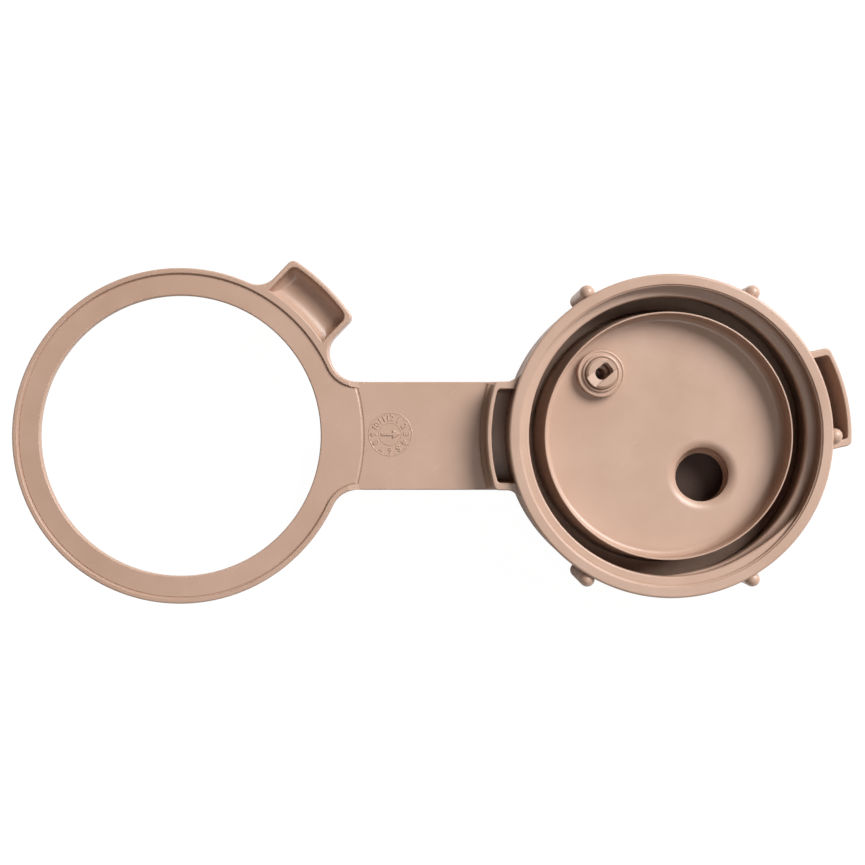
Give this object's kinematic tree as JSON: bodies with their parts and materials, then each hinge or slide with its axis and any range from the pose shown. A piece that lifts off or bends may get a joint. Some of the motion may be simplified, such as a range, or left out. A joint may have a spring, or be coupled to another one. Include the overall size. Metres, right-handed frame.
{
  "type": "tethered pour closure",
  "caption": "Wide-mouth screw closure with a small pour cap and a vent plug, tied by a flat strap to a ring that stays on the container's neck.",
  "frame": {"origin": "middle of the bounding box's base, on the surface the closure lies on, crown down", "axes": "+X from the neck ring's axis to the screw cap's axis, +Z out of the cap's open side"},
  "size_m": [0.2982, 0.1234, 0.032],
  "materials": {
    "tan_polyethylene": "moulded satin polyethylene",
    "seal_rubber": "matte moulded rubber",
    "liner_foam": "matte foamed polyethylene"
  },
  "bodies": {
    "cap": {"main_cap": "tan_polyethylene", "main_gasket": "seal_rubber", "vent_bush": "tan_polyethylene"},
    "strap": {"tether_strap": "tan_polyethylene"},
    "ring": {"neck_ring": "tan_polyethylene"},
    "pour_liner": {"pour_cap_liner": "liner_foam"},
    "pour_cap": {"pour_cap": "tan_polyethylene"},
    "vent": {"vent_plug": "tan_polyethylene", "vent_seal_ring": "seal_rubber"}
  },
  "joints": [
    {"name": "strap_root_bend", "type": "hinge", "parent": "cap", "child": "strap", "pos_m": [0.01796, -0.00126, 0.01725], "axis": [0, 1, 0], "range_deg": [-90, 90], "stiffness_Nm_per_rad": 1.8},
    {"name": "ring_bend", "type": "hinge", "parent": "strap", "child": "ring", "pos_m": [-0.02304, -0.00126, 0.01725], "axis": [0, 1, 0], "range_deg": [-90, 90], "stiffness_Nm_per_rad": 1.8},
    {"name": "pour_cap_lift", "type": "slide", "parent": "cap", "child": "pour_liner", "axis": [0, 0, -1], "range_m": [0, 0.006]},
    {"name": "pour_cap_turn", "type": "hinge", "parent": "pour_liner", "child": "pour_cap", "pos_m": [0.10065, -0.01674, 0.007], "axis": [0, 0, -1], "range_deg": [0, 540]},
    {"name": "vent_pull", "type": "slide", "parent": "cap", "child": "vent", "axis": [0, 0, -1], "range_m": [0, 0.003]}
  ],
  "couplings": [
    {"joint": "pour_cap_lift", "follows": "pour_cap_turn", "m_per_rad": 0.00063661}
  ]
}
